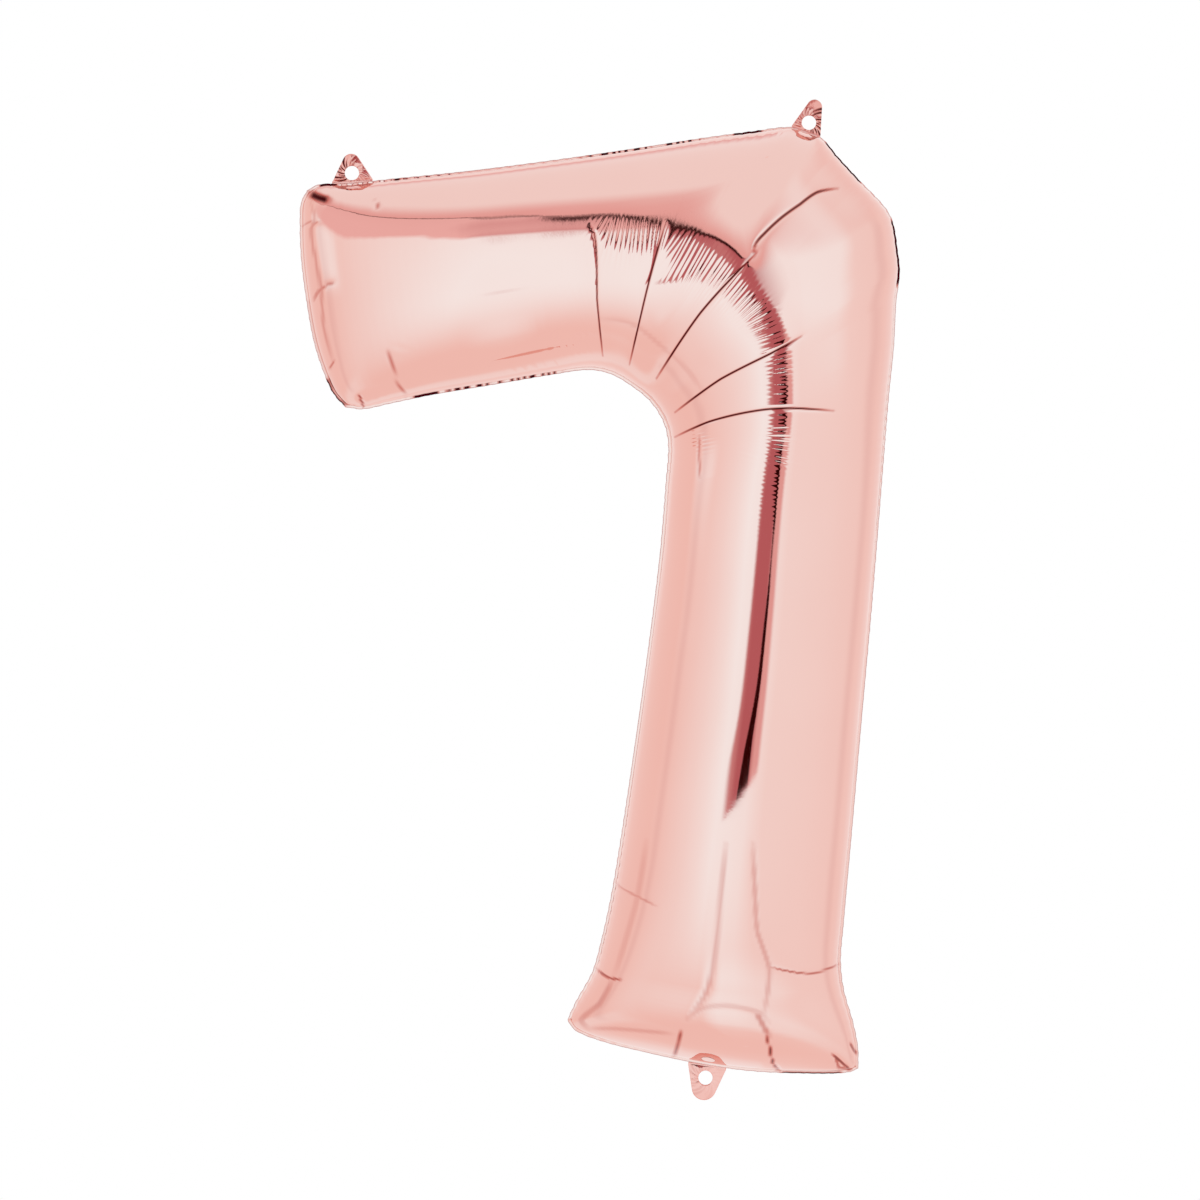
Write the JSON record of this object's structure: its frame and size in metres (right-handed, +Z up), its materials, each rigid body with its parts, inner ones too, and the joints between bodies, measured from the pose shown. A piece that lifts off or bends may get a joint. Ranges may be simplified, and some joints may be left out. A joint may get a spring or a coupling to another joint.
{
  "type": "foil number balloon",
  "caption": "Inflated foil balloon in the shape of a digit seven, with punched hanging tabs that fold, an inflation tail and a one-way film valve.",
  "frame": {"origin": "centre of the punched hole in the upper right tab, in the seam plane; the balloon hangs from it", "axes": "+Z up, +X to the right as the digit is read, -Y towards the reader; the seam lies in the XZ plane"},
  "size_m": [0.5169, 0.1998, 0.8636],
  "materials": {
    "rose_gold_foil": "mirror-bright rose gold metallised film",
    "fused_sealant": "fused clear sealant over foil",
    "valve_film": "clear soft film",
    "release_print": "matt heat-resistant print"
  },
  "bodies": {
    "envelope": {"front_foil_sheet": "rose_gold_foil", "back_foil_sheet": "rose_gold_foil", "edge_weld": "fused_sealant", "valve_neck_front": "valve_film", "valve_neck_back": "valve_film", "valve_release_print": "release_print"},
    "upper_left_tab": {"upper_left_tab_front_ply": "rose_gold_foil", "upper_left_tab_back_ply": "rose_gold_foil", "upper_left_tab_weld": "fused_sealant"},
    "upper_right_tab": {"upper_right_tab_front_ply": "rose_gold_foil", "upper_right_tab_back_ply": "rose_gold_foil", "upper_right_tab_weld": "fused_sealant"},
    "tail": {"tail_front_ply": "rose_gold_foil", "tail_back_ply": "rose_gold_foil", "tail_weld_left": "fused_sealant", "tail_weld_right": "fused_sealant", "tail_film_front": "valve_film", "tail_film_back": "valve_film"},
    "valve_front": {"valve_film_front": "valve_film"},
    "valve_back": {"valve_film_back": "valve_film"}
  },
  "joints": [
    {"name": "upper_left_tab_fold", "type": "hinge", "parent": "envelope", "child": "upper_left_tab", "pos_m": [-0.39408, 0, -0.0501], "axis": [0.9976, 0, 0.0698], "range_deg": [-75, 75], "stiffness_Nm_per_rad": 0.0005},
    {"name": "upper_right_tab_fold", "type": "hinge", "parent": "envelope", "child": "upper_right_tab", "pos_m": [-0.00234, 0, -0.0066], "axis": [0.9426, 0, -0.3338], "range_deg": [-75, 75], "stiffness_Nm_per_rad": 0.0005},
    {"name": "tail_fold", "type": "hinge", "parent": "envelope", "child": "tail", "pos_m": [-0.08798, 0, -0.81499], "axis": [0.989, 0, -0.1478], "range_deg": [-75, 75], "stiffness_Nm_per_rad": 0.0005},
    {"name": "valve_front_part", "type": "hinge", "parent": "envelope", "child": "valve_front", "pos_m": [-0.08669, -0.00027, -0.80638], "axis": [0.989, 0, -0.1478], "range_deg": [0, 3], "stiffness_Nm_per_rad": 0.002},
    {"name": "valve_back_part", "type": "hinge", "parent": "envelope", "child": "valve_back", "pos_m": [-0.08669, 0.00027, -0.80638], "axis": [0.989, 0, -0.1478], "range_deg": [-3, 0], "stiffness_Nm_per_rad": 0.002}
  ],
  "couplings": [
    {"joint": "valve_back_part", "follows": "valve_front_part", "ratio": -1}
  ]
}
